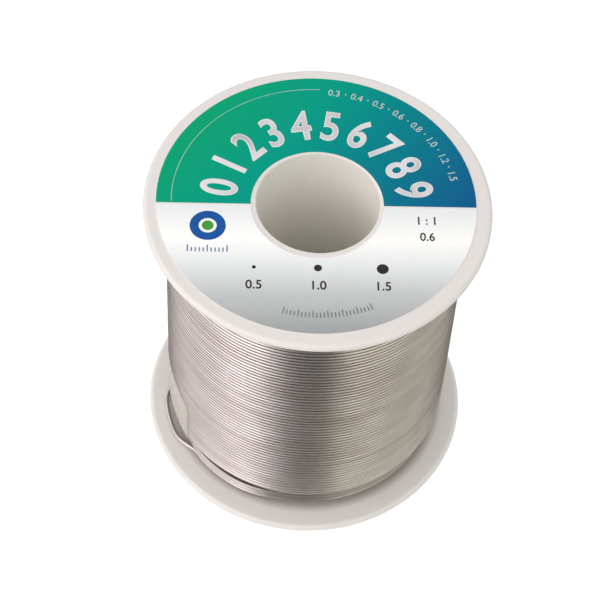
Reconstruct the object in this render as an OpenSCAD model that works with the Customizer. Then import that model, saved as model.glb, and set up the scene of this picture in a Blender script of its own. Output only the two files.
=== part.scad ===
// Spool of solder wire: two moulded halves plugged together at mid height, a
// ring label on the upper flange, and flux-cored wire wound level between the
// flanges, its free end held by a strip of clear tape.
// Millimetres, +Z up along the spool's axis, origin on the axis at the foot.

/* [Spool] */
// Diameter of both flanges
flange_d = 45; // [44.5:0.5:60]
// Height over both flanges
spool_h = 46.8; // [40:0.2:60]
// Thickness of each flange
flange_t = 1.26; // [1.22:0.02:1.8]
// Radius that rounds the rim of each flange
rim_r = 0.6; // [0.3:0.05:0.6]
// Diameter of the spindle bore
bore_d = 16; // [12:0.5:17]
// Outer diameter of the barrel that carries the wire
barrel_d = 19.4; // [19:0.2:21]
// Radius of the rounded lip at each mouth of the bore
lip_r = 0.25; // [0.2:0.05:0.8]
// Radius of the fillet where the barrel grows out of a flange
root_r = 0.8; // [0.4:0.1:1]
// Length of the spigot that joins the two halves
spigot_l = 4; // [2:0.5:6]
// Diameter of the hole that takes the wire's start
start_hole_d = 1.4; // [1:0.1:1.6]

/* [Label] */
// Outer diameter of the ring label
label_d = 41.3; // [36:0.1:42]
// Diameter of the label's hole
label_hole_d = 17; // [17:0.1:20]
// Thickness of the label's film
label_t = 0.1; // [0.05:0.05:0.3]
// How far the stuck label sits off the spool's axis
label_shift = [-0.22, 0.16]; // [-0.4:0.02:0.4]
// How far its hole sits off the spool's axis
label_hole_shift = [-0.12, -0.4]; // [-0.4:0.02:0.4]

/* [Wire] */
// Diameter of the wound wire over its outermost layer
winding_d = 39.3; // [38:0.1:41]
// Diameter of the solder wire
wire_d = 0.6; // [0.4:0.1:0.8]
// Distance between neighbouring turns of a layer
wire_pitch = 0.675; // [0.6:0.025:0.9]
// Height above the foot at which the outermost layers end
last_turn_z = 5.4; // [4.5:0.1:8]
// Layers that end there, short of the lower flange
short_layers = 2; // [1:1:3]
// Direction in which the free end lies, degrees from +X
free_end_angle = -165; // [-180:1:180]
// Direction from which the lowest turn is slack, degrees from +X
slack_angle = -86; // [-120:1:-60]
// How far the slack turn stands off the others
slack_out = 1.3; // [0:0.1:2]

/* [Tape] */
// Width of the tape that holds the free end
tape_w = 8; // [6:0.5:10]
// Length of the tape round the winding
tape_l = 18; // [12:1:30]
// Thickness of the tape
tape_t = 0.1; // [0.05:0.05:0.2]
// How far the tape reaches along the wire before its free end, degrees
tape_lead = 17; // [5:1:40]
// How far the tape's edge hangs below the last turn
tape_drop = 0.4; // [0:0.1:1]

/* [Turns as drawn] */
// Loops of the outer layer
outer_loops = 21; // [12:1:22]
// Loops of the layer that shows between the step and the lower flange
lower_loops = 3; // [2:1:3]
// Gap left between neighbouring loops
loop_gap = 0.46; // [0.42:0.02:0.8]

/* [Hidden] */
$fn = 96;

// Radii and heights that follow from the sizes above
flange_r = flange_d / 2;
bore_r = bore_d / 2;
barrel_r = barrel_d / 2;
winding_r = winding_d / 2;
mid_z = spool_h / 2;
upper_z = spool_h - flange_t;
wall_mid_r = (bore_r + barrel_r) / 2;
// Each layer of turns sits in the furrows of the one beneath it
layer_step = sqrt(pow(wire_d, 2) - pow(wire_pitch / 2, 2));
step_r = winding_r - short_layers * layer_step;
lead_in = 0.4;    // chamfer that leads the spigot into its socket
skin = 0.02;      // least space kept between pieces that don't seat
eps = 0.01;       // overshoot of a cut past the face that it leaves

// Tubes of the drawn turns: six sides, a ring every 15 degrees. A drawn loop
// is coarser than the wire and stands for two or three of its turns.
TUBE_SIDES = 6;
LOOP_RINGS = 24;
outer_span = upper_z - last_turn_z - 2 * skin;
outer_tube_d = (outer_span - outer_loops * loop_gap) / (outer_loops + 1);
outer_pitch = outer_tube_d + loop_gap;
outer_path_r = winding_r - outer_tube_d / 2;
lower_span = last_turn_z - flange_t - 2 * skin;
lower_tube_d = (lower_span - lower_loops * loop_gap) / (lower_loops + 1);
lower_pitch = lower_tube_d + loop_gap;
lower_path_r = step_r - lower_tube_d / 2;
// A chord between two rings comes this much nearer the axis than its ends
chord = cos(180 / LOOP_RINGS);
under_outer_r = (outer_path_r - outer_tube_d / 2) * chord - skin;
under_lower_r = (lower_path_r - lower_tube_d / 2) * chord - skin;
// The lower turns go on under the outer layer on the far side
lower_end_angle = 90;
slack_ease = 60;  // degrees over which the slack turn leaves and rejoins them
tape_skin = 4 * skin;

// Start of the wire: bend at the barrel, then a leg down through the flange
start_path_r = barrel_r + wire_d / 2 + 0.1;
start_bend_r = 0.9;
start_z = flange_t + root_r + start_bend_r;
start_arc = 50;
start_foot_z = 0.3;
start_hole_r = barrel_r + start_hole_d / 2 + 0.05;

// ---- Profiles, drawn in the half plane that turns about the axis ----

// Square corner of side r filled by a fillet, its corner at the origin
module fillet_2d(r) {
    difference() {
        square(r);
        translate([r, r]) circle(r);
    }
}

// Flange and barrel of one half, from its outer face at z = 0 up to its joint
module half_profile(barrel_h) {
    difference() {
        union() {
            translate([bore_r, 0]) square([flange_r - rim_r - bore_r, flange_t]);
            translate([flange_r - rim_r, rim_r])
                square([rim_r, flange_t - 2 * rim_r]);
            for (z = [rim_r, flange_t - rim_r])
                translate([flange_r - rim_r, z]) circle(rim_r);
            translate([bore_r, 0]) square([barrel_r - bore_r, barrel_h]);
            translate([barrel_r, flange_t]) fillet_2d(root_r);
        }
        translate([bore_r, 0]) fillet_2d(lip_r);
    }
}

// Hole beside the barrel through which the wire's start can pass
module start_hole() {
    translate([start_hole_r, -start_bend_r, -eps])
        cylinder(d = start_hole_d, h = flange_t + root_r + 2 * eps);
}

// ---- Turns: one unbroken tube on a helix, checked for its own gap ----

// Points of a helix that goes down clockwise, seen from above, to end at an
// angle, each end running straight on for one tube diameter. It stands out
// further where out, a function of the angle, says so, but not at its ends.
function helix_path(r, top_z, pitch, loops, end_a, d, out = function(a) 0) =
    let(a_at = function(k) end_a + 360 * (loops - k / LOOP_RINGS),
        r_at = function(k) r + out(a_at(k)),
        z_at = function(k) top_z - pitch * k / LOOP_RINGS,
        last = loops * LOOP_RINGS)
    [straight_on(r, a_at(0), z_at(0), d),
     for (k = [0 : last])
         [r_at(k) * cos(a_at(k)), r_at(k) * sin(a_at(k)), z_at(k)],
     straight_on(r, a_at(last), z_at(last), -d)];
// Point at a distance along the tangent, anticlockwise where it is positive
function straight_on(r, a, z, along) =
    [r * cos(a) - along * sin(a), r * sin(a) + along * cos(a), z];

// Corner k of the ring about path point p, the first one away from the axis
function ring_corner(p, d, k) =
    let(out = [p.x, p.y, 0] / norm([p.x, p.y]), a = 360 * k / TUBE_SIDES)
    p + d / 2 * (cos(a) * out + sin(a) * [0, 0, 1]);

// Least space between a tube's surface and its next loops
function least_gap(path, d) =
    min([for (i = [0 : len(path) - 1])
         for (j = [i + LOOP_RINGS / 2 : min(len(path) - 1, i + 2 * LOOP_RINGS)])
         norm(path[i] - path[j])]) - d;

// From 0 to 1, smoothly
function eased(t) = let(u = min(1, max(0, t))) u * u * (3 - 2 * u);

// How far the lower turns stand out at an angle, counted down to their end
function slack_at(a) =
    slack_out * eased((slack_angle + 360 - a) / slack_ease)
              * eased((a - lower_end_angle) / slack_ease);

module tube(path, d) {
    corners = [for (p = path) for (k = [0 : TUBE_SIDES - 1]) ring_corner(p, d, k)];
    sides = [for (i = [0 : len(path) - 2]) for (k = [0 : TUBE_SIDES - 1])
             let(a = i * TUBE_SIDES + k,
                 b = i * TUBE_SIDES + (k + 1) % TUBE_SIDES)
             each [[a, b + TUBE_SIDES, b], [a, a + TUBE_SIDES, b + TUBE_SIDES]]];
    last = (len(path) - 1) * TUBE_SIDES;
    ends = [for (k = [1 : TUBE_SIDES - 2])
            each [[0, k, k + 1], [last, last + k + 1, last + k]]];
    polyhedron(corners, concat(sides, ends));
}

outer_path = helix_path(outer_path_r, upper_z - skin - outer_tube_d / 2,
                        outer_pitch, outer_loops, free_end_angle, outer_tube_d);
lower_path = helix_path(lower_path_r, last_turn_z - skin - lower_tube_d / 2,
                        lower_pitch, lower_loops, lower_end_angle, lower_tube_d,
                        function(a) slack_at(a));
echo(outer_layer_gap = least_gap(outer_path, outer_tube_d),
     outer_tube_d = outer_tube_d);
echo(lower_turns_gap = least_gap(lower_path, lower_tube_d),
     lower_tube_d = lower_tube_d);

// ---- Pieces ----

// Upper moulding: its spigot is the inner half of the barrel's wall
module upper_spool_half() {
    tip = mid_z + spigot_l;
    color("#E6E1DC")
    translate([0, 0, spool_h]) mirror([0, 0, 1])
    difference() {
        rotate_extrude() {
            half_profile(mid_z);
            polygon([[bore_r, mid_z - eps], [wall_mid_r, mid_z - eps],
                     [wall_mid_r, tip - lead_in], [wall_mid_r - lead_in, tip],
                     [bore_r, tip]]);
        }
        start_hole();
    }
}

// Lower moulding: the outer half of its wall is the socket
module lower_spool_half() {
    color("#E6E1DC")
    difference() {
        rotate_extrude() difference() {
            half_profile(mid_z);
            translate([0, mid_z - spigot_l])
                square([wall_mid_r, spigot_l + eps]);
        }
        start_hole();
    }
}

// Printed film on the upper flange
module ring_label() {
    color("#1F8C86")
    translate([0, 0, spool_h])
    linear_extrude(label_t) difference() {
        translate(label_shift) circle(d = label_d);
        translate(label_hole_shift) circle(d = label_hole_d);
    }
}

// The wire's first stretch: round the barrel, over a bend and down through
// the lower flange, of thickness d
module start_wire(d) {
    translate([0, 0, start_z])
        rotate_extrude(angle = start_arc) translate([start_path_r, 0]) circle(d = d);
    translate([start_path_r, 0, start_z - start_bend_r])
        rotate([0, -90, 0]) rotate([0, 0, -90])
            rotate_extrude(angle = 90) translate([start_bend_r, 0]) circle(d = d);
    translate([start_path_r, -start_bend_r, start_foot_z])
        cylinder(d = d, h = start_z - start_bend_r - start_foot_z);
}

module wire_start() {
    color("#A9A7A4") start_wire(wire_d);
}

// Layers beneath the ones that are drawn turn by turn: a plain core, which
// stands clear of the barrel's fillets and of the wire's start
module inner_wire_layers() {
    color("#9A9794")
    difference() {
        rotate_extrude() difference() {
            union() {
                translate([barrel_r, flange_t])
                    square([under_lower_r - barrel_r, last_turn_z - flange_t]);
                translate([barrel_r, last_turn_z - eps])
                    square([under_outer_r - barrel_r, upper_z - last_turn_z + eps]);
            }
            translate([barrel_r, flange_t]) fillet_2d(root_r);
            translate([barrel_r, upper_z]) mirror([0, 1]) fillet_2d(root_r);
        }
        start_wire(wire_d + 2 * skin);
    }
}

// Turns of the layer beneath, bare between the step and the lower flange, the
// lowest of them slack on one side
module lower_turns() {
    color("#B4B1AE") tube(lower_path, lower_tube_d);
}

// The layer that shows, down to its free end at the step
module outer_wire_layer() {
    color("#B9B7B5") tube(outer_path, outer_tube_d);
}

// Clear strip along the last turns, which holds the free end down
module end_tape() {
    tape_a = tape_l / winding_r * 180 / PI;
    color("#D5D6CC", 0.6)
    rotate([0, 0, free_end_angle + tape_lead - tape_a])
    rotate_extrude(angle = tape_a)
        translate([winding_r + tape_skin, last_turn_z - tape_drop])
            square([tape_t, tape_w]);
}

upper_spool_half();
lower_spool_half();
ring_label();
wire_start();
inner_wire_layers();
lower_turns();
outer_wire_layer();
end_tape();
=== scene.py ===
"""Looks of a solder wire spool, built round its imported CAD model.

The two moulded halves of the spool keep their CAD shape and get a polystyrene
finish. The ring label, the wound wire and the tape are modelled here in full,
in place of the plainer forms that the CAD model holds. Lengths are in metres
in the CAD frame: +Z up along the spool's axis, the origin on it at the foot.
"""

import logging
import math
from collections.abc import Iterable, Sequence
from dataclasses import dataclass, field
from enum import Enum
from typing import Any

import bmesh
import bpy
from bpy.types import ID, Material, Mesh, Node, NodeOutputs, NodeSocket, NodeTree, Object
from mathutils import Euler, Matrix, Vector


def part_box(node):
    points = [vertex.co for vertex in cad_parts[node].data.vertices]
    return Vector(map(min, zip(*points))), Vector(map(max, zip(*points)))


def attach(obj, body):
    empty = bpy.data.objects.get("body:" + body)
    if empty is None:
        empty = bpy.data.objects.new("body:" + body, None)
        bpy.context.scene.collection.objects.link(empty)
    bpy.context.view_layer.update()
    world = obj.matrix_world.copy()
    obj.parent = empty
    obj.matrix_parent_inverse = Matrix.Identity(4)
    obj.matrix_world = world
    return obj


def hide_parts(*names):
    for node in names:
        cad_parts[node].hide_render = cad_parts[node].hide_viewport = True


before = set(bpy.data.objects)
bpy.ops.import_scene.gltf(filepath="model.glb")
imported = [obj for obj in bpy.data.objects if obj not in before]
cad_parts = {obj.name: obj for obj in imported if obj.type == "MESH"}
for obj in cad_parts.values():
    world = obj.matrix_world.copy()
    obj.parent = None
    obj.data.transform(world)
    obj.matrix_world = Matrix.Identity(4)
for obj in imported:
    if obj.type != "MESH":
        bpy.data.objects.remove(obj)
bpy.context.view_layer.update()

LOG = logging.getLogger("solder_wire_spool")
Pair = tuple[float, float]
MM = 0.001
TURN = 2 * math.pi
BODY = "root"
# Direction of the wire's free end under the tape, in degrees
FREE_END_ANGLE = -165.0
# Degrees to a step of a flat ring or arc, and the least number of its steps
ARC_STEP = 1.5
LEAST_STEPS = 12

# Sockets of Blender's Mix node in its colour mode
MIX_FACTOR, MIX_A, MIX_B = 0, 6, 7


# ------------------------------------------------------------- node helpers


def linear(colour: str) -> tuple[float, float, float, float]:
    """Turns an sRGB hex colour to linear light.

    Args:
        colour: A # and six hex digits.

    Returns:
        Red, green and blue, with an alpha of 1.
    """
    shares = [int(colour[start:start + 2], 16) / 255 for start in (1, 3, 5)]
    red, green, blue = [s / 12.92 if s <= 0.04045 else ((s + 0.055) / 1.055) ** 2.4 for s in shares]
    return red, green, blue, 1.0


def add_node(
    tree: NodeTree,
    kind: str,
    inputs: dict[str | int, Any] | None = None,
    stops: Sequence[tuple[float, str]] = (),
    **settings: Any,
) -> Node:
    """Adds a node with its settings and its links.

    Args:
        tree: The node tree that gets the node.
        kind: Blender's name for the type of node.
        inputs: A value, a socket or a node for each input, by name or number.
            A node stands for its first output that is in use.
        stops: Positions and hex colours of a colour ramp.
        **settings: Properties of the node itself.

    Returns:
        The new node.
    """
    node = tree.nodes.new(kind)
    for name, value in settings.items():
        setattr(node, name, value)
    for key, value in (inputs or {}).items():
        if isinstance(value, Node):
            value = next(socket for socket in value.outputs if socket.enabled)
        if isinstance(value, NodeSocket):
            tree.links.new(value, node.inputs[key])
        else:
            node.inputs[key].default_value = value
    if stops:
        elements = node.color_ramp.elements
        elements.remove(elements[1])
        elements[0].position = stops[0][0]
        elements[0].color = linear(stops[0][1])
        for position, colour in stops[1:]:
            elements.new(position).color = linear(colour)
    return node


def calculated(tree: NodeTree, operation: str, *terms: Any) -> Node:
    """Adds one step of arithmetic."""
    return add_node(tree, "ShaderNodeMath", dict(enumerate(terms)), operation=operation)


def remapped(
    tree: NodeTree, value: Any, start: Sequence[Any] = (0.0, 1.0), end: Sequence[Any] = (0.0, 1.0),
    **settings: Any,
) -> Node:
    """Adds a map from one range to another.

    Args:
        tree: The node tree that gets the node.
        value: What is mapped.
        start: The two ends of the range that it comes from.
        end: The two ends of the range that it goes to.
        **settings: Properties of the node itself.

    Returns:
        The new node.
    """
    ends = dict(zip(("From Min", "From Max", "To Min", "To Max"), (*start, *end)))
    return add_node(tree, "ShaderNodeMapRange", {"Value": value, **ends}, **settings)


def mixed(tree: NodeTree, share: Any, first: Any, second: str) -> Node:
    """Adds a mix of two colours, of which the first may be a hex colour or a node."""
    first = linear(first) if isinstance(first, str) else first
    inputs = {MIX_FACTOR: share, MIX_A: first, MIX_B: linear(second)}
    return add_node(tree, "ShaderNodeMix", inputs, data_type="RGBA")


def object_place(tree: NodeTree) -> NodeSocket:
    """Adds the place on the surface, in object coordinates."""
    return add_node(tree, "ShaderNodeTexCoord").outputs["Object"]


def noise(tree: NodeTree, place: Any, size: float, detail: float = 2.0) -> Node:
    """Adds noise whose patches have about that size."""
    return add_node(tree, "ShaderNodeTexNoise", {"Vector": place, "Scale": 1 / size, "Detail": detail})


def bump(tree: NodeTree, height: Any, strength: float, distance: float) -> Node:
    """Adds fine relief to a surface."""
    inputs = {"Height": height, "Strength": strength, "Distance": distance}
    return add_node(tree, "ShaderNodeBump", inputs)


def principled(tree: NodeTree, inputs: dict[str, Any]) -> Node:
    """Adds a Principled shader."""
    return add_node(tree, "ShaderNodeBsdfPrincipled", inputs)


def from_axis(tree: NodeTree, place: NodeSocket) -> NodeSocket:
    """Adds the distance of a place from the spool's axis."""
    level = add_node(tree, "ShaderNodeVectorMath", {0: place, 1: (1, 1, 0)}, operation="MULTIPLY")
    return add_node(tree, "ShaderNodeVectorMath", {0: level}, operation="LENGTH").outputs["Value"]


def height_of(tree: NodeTree, place: NodeSocket) -> NodeSocket:
    """Adds the height of a place above the spool's foot."""
    return add_node(tree, "ShaderNodeSeparateXYZ", {"Vector": place}).outputs["Z"]


def new_tree(name: str, values: dict[str, Any]) -> tuple[NodeTree, NodeOutputs]:
    """Starts a Geometry Nodes tree with a named input for each value.

    Args:
        name: Name of the tree.
        values: A number, a whole number or a material for each input.

    Returns:
        The tree and the sockets of its Group Input node.
    """
    tree = bpy.data.node_groups.new(name, "GeometryNodeTree")
    kinds = {int: "Int", float: "Float", Material: "Material"}
    tree.interface.new_socket("Geometry", in_out="INPUT", socket_type="NodeSocketGeometry")
    for socket_name, value in values.items():
        kind = f"NodeSocket{kinds[type(value)]}"
        tree.interface.new_socket(socket_name, in_out="INPUT", socket_type=kind)
    tree.interface.new_socket("Geometry", in_out="OUTPUT", socket_type="NodeSocketGeometry")
    return tree, add_node(tree, "NodeGroupInput").outputs


def end_tree(tree: NodeTree, geometry: Node, material: NodeSocket) -> None:
    """Ends a Geometry Nodes tree: makes its instances real and gives them the material."""
    real = add_node(tree, "GeometryNodeRealizeInstances", {"Geometry": geometry})
    dressed = add_node(tree, "GeometryNodeSetMaterial", {"Geometry": real, "Material": material})
    add_node(tree, "NodeGroupOutput", {"Geometry": dressed})


def run_tree(name: str, tree: NodeTree, values: dict[str, Any], carrier: Mesh | None = None) -> Mesh:
    """Runs a Geometry Nodes tree and keeps its result as a plain mesh.

    Args:
        name: Name of the resulting mesh.
        tree: The tree.
        values: A value for each of its inputs, by name.
        carrier: The mesh that the tree works on, if it needs one.

    Returns:
        The mesh, with its faces turned outwards.
    """
    holder = new_object(f"{name}_carrier", carrier or bpy.data.meshes.new(name))
    modifier = holder.modifiers.new(tree.name, "NODES")
    modifier.node_group = tree
    for item in tree.interface.items_tree:
        if item.in_out == "INPUT" and item.name in values:
            modifier[item.identifier] = values[item.name]
    depsgraph = bpy.context.evaluated_depsgraph_get()
    mesh = bpy.data.meshes.new_from_object(
        holder.evaluated_get(depsgraph), preserve_all_data_layers=True, depsgraph=depsgraph
    )
    holder.modifiers.remove(modifier)
    bpy.data.objects.remove(holder)
    close_mesh(mesh)
    return mesh


# ------------------------------------------------------------- mesh helpers


def polar(radius: float, degrees: float, height: float = 0.0) -> Vector:
    """Gives the point at a radius and an angle from +X about the spool's axis."""
    angle = math.radians(degrees)
    return Vector((radius * math.cos(angle), radius * math.sin(angle), height))


def flattened(point: Vector) -> Vector:
    """Gives the point below or above at height 0."""
    return Vector((point.x, point.y, 0))


def set_upright(spot: Vector, degrees: float) -> Matrix:
    """Gives the place of a figure at a spot, its head away from the axis at that angle."""
    return Matrix.Translation(spot) @ Matrix.Rotation(math.radians(degrees - 90), 4, "Z")


def new_object(name: str, data: ID) -> Object:
    """Puts a mesh, curve, light or camera in the scene as an object of that name."""
    made = bpy.data.objects.new(name, data)
    bpy.context.scene.collection.objects.link(made)
    return made


def mesh_of(
    name: str, points: Iterable[Sequence[float]], faces: Iterable[Sequence[int]], **values: Sequence[float]
) -> Mesh:
    """Makes a mesh.

    Args:
        name: Name of the mesh.
        points: Its points.
        faces: Its faces, as numbers of points.
        **values: Attributes with a value for each point.

    Returns:
        The mesh.
    """
    mesh = bpy.data.meshes.new(name)
    mesh.from_pydata([tuple(point) for point in points], [], [tuple(face) for face in faces])
    for attribute, each in values.items():
        mesh.attributes.new(attribute, "FLOAT", "POINT").data.foreach_set("value", each)
    return mesh


def grid_faces(columns: int, rows: int, first: int = 0) -> list[tuple[int, ...]]:
    """Gives the faces of a grid whose points are numbered from first, column by column."""
    starts = [first + column * (rows + 1) + row for column in range(columns) for row in range(rows)]
    return [(start, start + 1, start + rows + 2, start + rows + 1) for start in starts]


def close_mesh(mesh: Mesh, smooth_below: float = 40.0, merge: float = 1e-7) -> None:
    """Merges doubled points, turns the faces outwards and smooths what is round.

    Args:
        mesh: A closed mesh, which is changed in place.
        smooth_below: Degrees between two faces up to which their edge is smooth.
        merge: Distance within which points are merged.
    """
    work = bmesh.new()
    work.from_mesh(mesh)
    bmesh.ops.remove_doubles(work, verts=work.verts, dist=merge)
    bmesh.ops.recalc_face_normals(work, faces=work.faces)
    work.to_mesh(mesh)
    work.free()
    mesh.shade_smooth()
    mesh.set_sharp_from_angle(angle=math.radians(smooth_below))


def swept(name: str, sections: Sequence[Sequence[Vector]], whole: bool = True) -> Mesh:
    """Joins closed sections, one to the next.

    Args:
        name: Name of the mesh.
        sections: The sections, each with the same number of corners.
        whole: Whether the last joins the first; otherwise both ends are closed.

    Returns:
        A closed mesh, its faces not yet turned outwards.
    """
    count = len(sections[0])
    steps = len(sections) if whole else len(sections) - 1
    faces: list[Sequence[int]] = []
    for step in range(steps):
        here, there = step * count, (step + 1) % len(sections) * count
        for k in range(count):
            after = (k + 1) % count
            faces.append((here + k, there + k, there + after, here + after))
    if not whole:
        faces += [range(count), range(steps * count + count - 1, steps * count - 1, -1)]
    return mesh_of(name, [point for section in sections for point in section], faces)


def revolve(name: str, profile: Sequence[Pair], steps: int) -> Mesh:
    """Turns a closed outline of (radius, height) pairs about the spool's axis, in so many steps."""
    mesh = swept(name, [[polar(r, 360 * step / steps, z) for r, z in profile] for step in range(steps)])
    close_mesh(mesh)
    return mesh


def flat_ring(radii: Pair, heights: Pair, centre: Vector, angles: Pair = (0, 360)) -> Mesh:
    """Makes a flat ring, or a band along an arc, as a thin closed solid.

    Args:
        radii: Its inner and outer radius.
        heights: Heights of its underside and its upper side.
        centre: Its centre, of which the height is left out.
        angles: Degrees at which it starts and ends; a full turn closes the ring.

    Returns:
        The mesh.
    """
    (inner, outer), (low, high), (start, end) = radii, heights, angles
    whole = end - start >= 360
    steps = max(LEAST_STEPS, round((end - start) / ARC_STEP))
    corners = ((inner, low), (outer, low), (outer, high), (inner, high))
    sections = []
    for k in range(steps if whole else steps + 1):
        angle = start + (end - start) * k / steps
        sections.append([flattened(centre) + polar(radius, angle, height) for radius, height in corners])
    mesh = swept("band", sections, whole)
    close_mesh(mesh)
    return mesh


def embolden(mesh: Mesh, distance: float) -> None:
    """Moves the upright sides of a flat solid outwards.

    Args:
        mesh: A closed solid between two level faces, which is changed in place.
        distance: How far each side moves.
    """
    if not distance:
        return
    upright, sharpest = 0.5, 0.5
    work = bmesh.new()
    work.from_mesh(mesh)
    bmesh.ops.recalc_face_normals(work, faces=work.faces)
    shifts = []
    for corner in work.verts:
        sides = {
            (round(face.normal.x, 3), round(face.normal.y, 3))
            for face in corner.link_faces
            if abs(face.normal.z) < upright
        }
        total = sum((Vector((*side, 0)) for side in sides), Vector((0, 0, 0)))
        # The limit keeps a very sharp corner from running far out
        shifts.append(total * (len(sides) * distance / max(total.length_squared, sharpest)))
    for corner, shift in zip(work.verts, shifts):
        corner.co += shift
    work.to_mesh(mesh)
    work.free()


def joined(meshes: Iterable[Mesh]) -> Mesh:
    """Joins meshes into one and removes the parts."""
    work = bmesh.new()
    for mesh in meshes:
        work.from_mesh(mesh)
        bpy.data.meshes.remove(mesh)
    result = bpy.data.meshes.new("joined")
    work.to_mesh(result)
    work.free()
    return result


def place_piece(
    name: str, mesh: Mesh, slot: str, finish: "Finish | None" = None, replaces: Sequence[str] = ()
) -> None:
    """Makes a piece of the object and ties it to the CAD model.

    Args:
        name: Name of the piece.
        mesh: Its mesh, already in place.
        slot: The record's material slot of the piece, which is only logged.
        finish: Its finish, or None where the mesh has its materials.
        replaces: CAD nodes that it stands for.
    """
    if finish is not None:
        mesh.materials.clear()
        mesh.materials.append(finish.material())
    mesh.name = name
    piece = new_object(name, mesh)
    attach(piece, BODY)
    if replaces:
        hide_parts(*replaces)
    mesh.calc_loop_triangles()
    LOG.info("%s: %d triangles, %s", name, len(mesh.loop_triangles), slot)


def dress_node(name: str, finish: "Finish") -> None:
    """Gives a CAD node its finish."""
    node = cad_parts[name]
    node.data.materials.clear()
    node.data.materials.append(finish.material())
    LOG.info("%s: CAD node, %s", name, finish.name)


# ------------------------------------------------------------- finishes


@dataclass(frozen=True)
class Finish:
    """A surface finish, which makes its Blender material once and hands it out."""

    name: str

    def material(self) -> Material:
        """Gives the material, made on first use."""
        found = bpy.data.materials.get(self.name)
        if found is not None:
            return found
        made = bpy.data.materials.new(self.name)
        made.use_nodes = True
        made.node_tree.nodes.clear()
        shader = self.shader(made.node_tree)
        add_node(made.node_tree, "ShaderNodeOutputMaterial", {"Surface": shader})
        return made

    def shader(self, tree: NodeTree) -> Node:
        """Builds the nodes and gives the one that the surface takes."""
        raise NotImplementedError


@dataclass(frozen=True)
class MouldedPolystyrene(Finish):
    """High-impact polystyrene, injection moulded in a spark-eroded tool.

    The eye gets a warm off-white with a satin skin, clouded a little by the
    flow of the melt, with a few handling marks of flux on it. The bore is painted
    paler as painted light, and the corner beside the winding darker as painted shade.
    """

    name: str = "moulded_polystyrene"
    colour: str = "#F6F2EE"
    cloud_colour: str = "#F1ECE6"
    cloud_size: float = 9 * MM
    roughness: Pair = (0.42, 0.56)
    # Handling marks show where their noise rises between these two levels, up to this share
    mark_colour: str = "#D8B596"
    mark_size: float = 0.7 * MM
    mark_edge: Pair = (0.76, 0.84)
    mark_share: float = 0.5
    # Painted light: the bore is painted paler, standing in for light that comes through the wall
    bore_colour: str = "#FAF8F1"
    bore_radius: float = 8.05 * MM
    bore_blend: float = 0.3 * MM
    # Painted shade darkens the lower flange's inner face beside the winding, fully from its start up to full,
    # fading out to its end
    dust_colour: str = "#B9B1AB"
    dust_start: float = 16.0 * MM
    dust_full: float = 18.8 * MM
    dust_end: float = 20.0 * MM
    face_height: float = 1.26 * MM
    face_depth: float = 0.2 * MM
    # Real spark-eroded grain is about 0.03 mm; this is as coarse as it needs to show
    grain_size: float = 0.12 * MM
    grain_depth: float = 0.006 * MM

    def shader(self, tree: NodeTree) -> Node:
        """Builds the nodes and gives the one that the surface takes."""
        place = object_place(tree)
        clouds = noise(tree, place, self.cloud_size, 3.0)
        skin = mixed(tree, clouds, self.colour, self.cloud_colour)
        # Painted light makes the bore paler
        within = (self.bore_radius + self.bore_blend, self.bore_radius)
        lit = mixed(tree, remapped(tree, from_axis(tree, place), within), skin, self.bore_colour)
        spots = noise(tree, place, self.mark_size, 1.0)
        marks = remapped(tree, spots, self.mark_edge, (0.0, self.mark_share))
        marked = mixed(tree, marks, lit, self.mark_colour)
        grain = noise(tree, place, self.grain_size)
        return principled(
            tree,
            {
                # Painted shade darkens the corner beside the winding
                "Base Color": mixed(tree, self.dust(tree, place), marked, self.dust_colour),
                "Roughness": remapped(tree, clouds, end=self.roughness),
                "Normal": bump(tree, grain, 0.25, self.grain_depth),
                "IOR": 1.59,
                "Specular IOR Level": 0.25,
            },
        )

    def dust(self, tree: NodeTree, place: NodeSocket) -> Node:
        """Adds how much painted shade darkens a place in the corner beside the winding.

        Args:
            tree: The node tree that gets the nodes.
            place: The place, in object coordinates.

        Returns:
            The node that gives the share of painted shade.
        """
        radius = from_axis(tree, place)
        thinning = remapped(tree, radius, (self.dust_end, self.dust_full))
        started = calculated(tree, "GREATER_THAN", radius, self.dust_start)
        on_face = calculated(tree, "COMPARE", height_of(tree, place), self.face_height, self.face_depth)
        there = calculated(tree, "MULTIPLY", started, on_face)
        return calculated(tree, "MULTIPLY", thinning, there)


@dataclass(frozen=True)
class PrintedFilm(Finish):
    """Matt polypropylene label film with a flat print that fades from tone to tone.

    The matt laminate takes nearly all gloss off, so the inks look deep.
    """

    name: str
    direction: float
    start: float
    end: float
    stops: tuple[tuple[float, str], ...]
    metallic: float = 0.0
    # A fine stipple of the print, coarser than a real screen of 0.15 mm
    stipple: float = 0.3 * MM
    stipple_depth: float = 0.003 * MM
    brightness: Pair = (0.96, 1.03)
    roughness: Pair = (0.4, 0.55)

    def shader(self, tree: NodeTree) -> Node:
        """Builds the nodes and gives the one that the surface takes."""
        place = object_place(tree)
        along = add_node(
            tree, "ShaderNodeVectorMath", {0: place, 1: polar(1.0, self.direction)}, operation="DOT_PRODUCT"
        )
        share = remapped(tree, along.outputs["Value"], (self.start, self.end))
        ink = add_node(tree, "ShaderNodeValToRGB", {"Fac": share}, stops=self.stops)
        stipple = noise(tree, place, self.stipple, 1.0)
        brightness = remapped(tree, stipple, end=self.brightness)
        return principled(
            tree,
            {
                "Base Color": add_node(tree, "ShaderNodeHueSaturation", {"Color": ink, "Value": brightness}),
                "Roughness": remapped(tree, stipple, end=self.roughness),
                "Normal": bump(tree, stipple, 0.15, self.stipple_depth),
                "IOR": 1.49,
                "Specular IOR Level": 0.03,
                "Metallic": self.metallic,
            },
        )


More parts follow.
